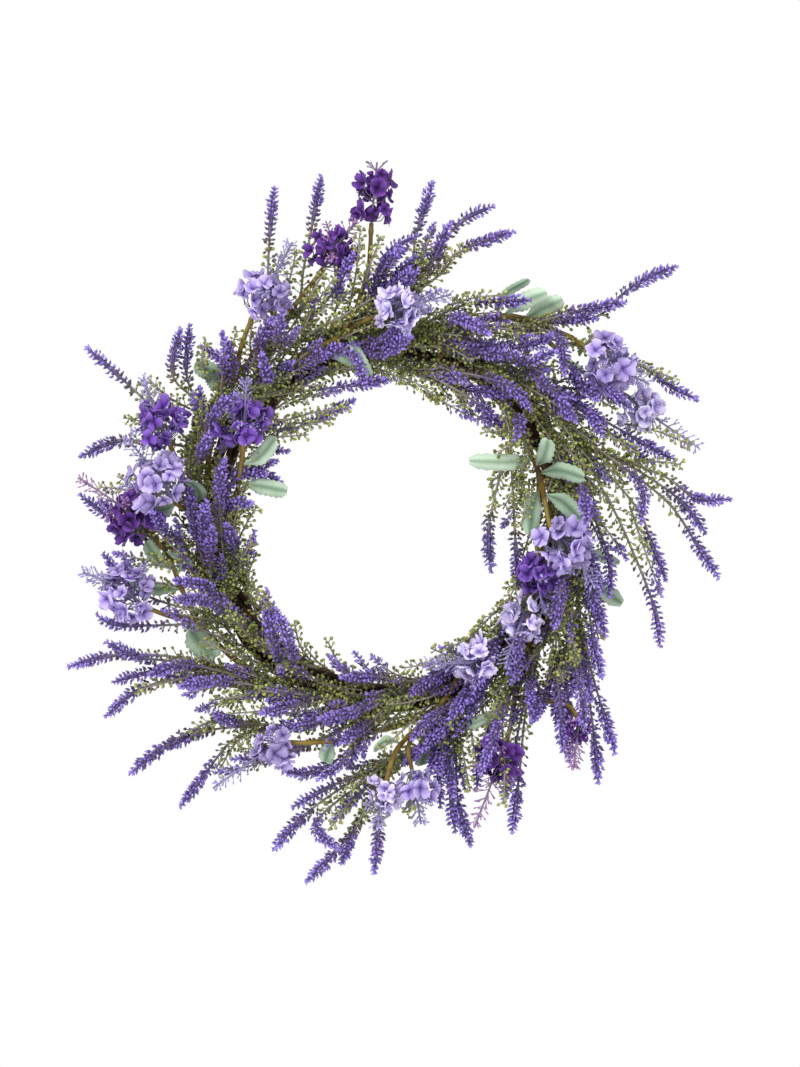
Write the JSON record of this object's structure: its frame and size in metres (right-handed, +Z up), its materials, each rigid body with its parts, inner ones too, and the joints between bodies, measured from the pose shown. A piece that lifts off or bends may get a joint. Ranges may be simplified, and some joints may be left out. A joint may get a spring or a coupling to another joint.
{
  "type": "lavender wreath",
  "caption": "Artificial lavender wreath: twisted vine ring with moulded lavender sprays, leafy stems and cloth blossom heads that flow clockwise round an open middle.",
  "frame": {"origin": "where the nail or hook holds the ring: the inside of the vine ring at its top, in the plane of the wall behind the wreath", "axes": "+Z up, +X to the right as seen from the front, -Y out of the wall towards the viewer"},
  "size_m": [0.486, 0.0972, 0.527],
  "materials": {
    "vine_bark": "rough dark brown bark",
    "lavender_plastic": "moulded buds, violet at the tips to olive below",
    "olive_stem": "tape-wrapped stems with sage cloth leaves",
    "cloth_pale_lilac": "thin woven cloth petals",
    "cloth_bright_lilac": "thin woven cloth petals",
    "cloth_middle_violet": "thin woven cloth petals",
    "cloth_dark_purple": "thin woven cloth petals"
  },
  "bodies": {
    "root": {"blossom_bottom": "cloth_pale_lilac", "blossom_bottom_left": "cloth_pale_lilac", "blossom_bottom_pale": "cloth_bright_lilac", "blossom_inner_left": "cloth_middle_violet", "blossom_left_dark": "cloth_dark_purple", "blossom_left_low": "cloth_pale_lilac", "blossom_left_pale": "cloth_pale_lilac", "blossom_left_violet": "cloth_middle_violet", "blossom_low_right_dark": "cloth_dark_purple", "blossom_lower_right": "cloth_bright_lilac", "blossom_lower_right_pale": "cloth_bright_lilac", "blossom_outer_right_dark": "cloth_dark_purple", "blossom_right_front": "cloth_pale_lilac", "blossom_right_outer": "cloth_bright_lilac", "blossom_right_pale": "cloth_pale_lilac", "blossom_right_violet": "cloth_middle_violet", "blossom_top": "cloth_dark_purple", "blossom_top_front": "cloth_bright_lilac", "blossom_top_left_dark": "cloth_dark_purple", "blossom_top_left_pale": "cloth_pale_lilac", "lavender_bottom": "lavender_plastic", "lavender_bottom_left": "lavender_plastic", "lavender_bottom_right": "lavender_plastic", "lavender_inner_left": "lavender_plastic", "lavender_inner_lower_right": "lavender_plastic", "lavender_inner_right": "lavender_plastic", "lavender_inner_top": "lavender_plastic", "lavender_inner_top_left": "lavender_plastic", "lavender_left_low": "lavender_plastic", "lavender_left_lower": "lavender_plastic", "lavender_left_lower_fan": "lavender_plastic", "lavender_left_middle": "lavender_plastic", "lavender_left_upper": "lavender_plastic", "lavender_left_upright": "lavender_plastic", "lavender_lower_right": "lavender_plastic", "lavender_lower_right_outer": "lavender_plastic", "lavender_right_middle": "lavender_plastic", "lavender_right_outer": "lavender_plastic", "lavender_right_upper": "lavender_plastic", "lavender_top_crown": "lavender_plastic", "lavender_top_left": "lavender_plastic", "lavender_top_middle": "lavender_plastic", "lavender_top_right": "lavender_plastic", "lavender_top_right_outer": "lavender_plastic", "leafy_stem_bottom": "olive_stem", "leafy_stem_bottom_left": "olive_stem", "leafy_stem_inner_left": "olive_stem", "leafy_stem_inner_right": "olive_stem", "leafy_stem_left": "olive_stem", "leafy_stem_left_low": "olive_stem", "leafy_stem_low_right": "olive_stem", "leafy_stem_right": "olive_stem", "leafy_stem_top": "olive_stem", "leafy_stem_top_left": "olive_stem", "leafy_stem_top_right": "olive_stem", "vine_cane_1": "vine_bark", "vine_cane_2": "vine_bark", "vine_cane_3": "vine_bark", "vine_cane_4": "vine_bark"}
  },
  "joints": []
}
